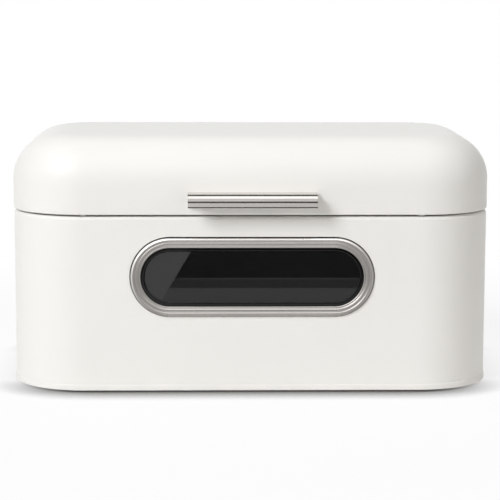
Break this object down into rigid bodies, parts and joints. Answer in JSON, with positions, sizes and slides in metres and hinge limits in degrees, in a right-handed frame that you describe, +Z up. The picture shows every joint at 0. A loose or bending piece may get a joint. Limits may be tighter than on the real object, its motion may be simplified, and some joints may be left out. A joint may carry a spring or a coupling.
{
  "type": "bread box",
  "caption": "Round-cornered steel bread box with a lid on rear hinges, a ledge handle on the lid and a stadium window with a steel bezel in the front wall.",
  "frame": {"origin": "floor level under the feet, at the centre of the whole outline from handle to hinges", "axes": "+X to the right seen from the front, -Y out of the front wall with the window, +Z up"},
  "size_m": [0.4212, 0.2514, 0.2206],
  "materials": {
    "white_powder_coat": "satin white powder coat",
    "brushed_stainless": "brushed stainless steel",
    "black_seal": "matt black rubber",
    "smoked_pane": "polished smoked acrylic",
    "zinc_steel": "bright zinc plate",
    "foot_rubber": "matt rubber",
    "buffer_rubber": "translucent grey silicone"
  },
  "bodies": {
    "body": {"body_wall": "white_powder_coat", "base_pan": "white_powder_coat", "window_bezel": "brushed_stainless", "window_gasket": "black_seal", "window_pane": "smoked_pane", "window_retainer": "zinc_steel", "window_nuts": "zinc_steel", "hinge_left_body_leaf": "zinc_steel", "hinge_right_body_leaf": "zinc_steel", "hinge_left_pin": "zinc_steel", "hinge_right_pin": "zinc_steel", "hinge_body_rivets": "zinc_steel", "foot_front_left": "foot_rubber", "foot_front_right": "foot_rubber", "foot_rear_left": "foot_rubber", "foot_rear_right": "foot_rubber", "lid_buffer_front_left": "buffer_rubber", "lid_buffer_front_right": "buffer_rubber", "lid_buffer_side_left": "buffer_rubber", "lid_buffer_side_right": "buffer_rubber"},
    "lid": {"lid_shell": "white_powder_coat", "handle_bar": "brushed_stainless", "handle_screws": "zinc_steel", "handle_washers": "zinc_steel", "hinge_left_lid_leaf": "zinc_steel", "hinge_right_lid_leaf": "zinc_steel", "hinge_lid_rivets": "zinc_steel"}
  },
  "joints": [
    {"name": "lid_hinge", "type": "hinge", "parent": "body", "child": "lid", "pos_m": [0, 0.12114, 0.15415], "axis": [-1, 0, 0], "range_deg": [0, 100]}
  ]
}
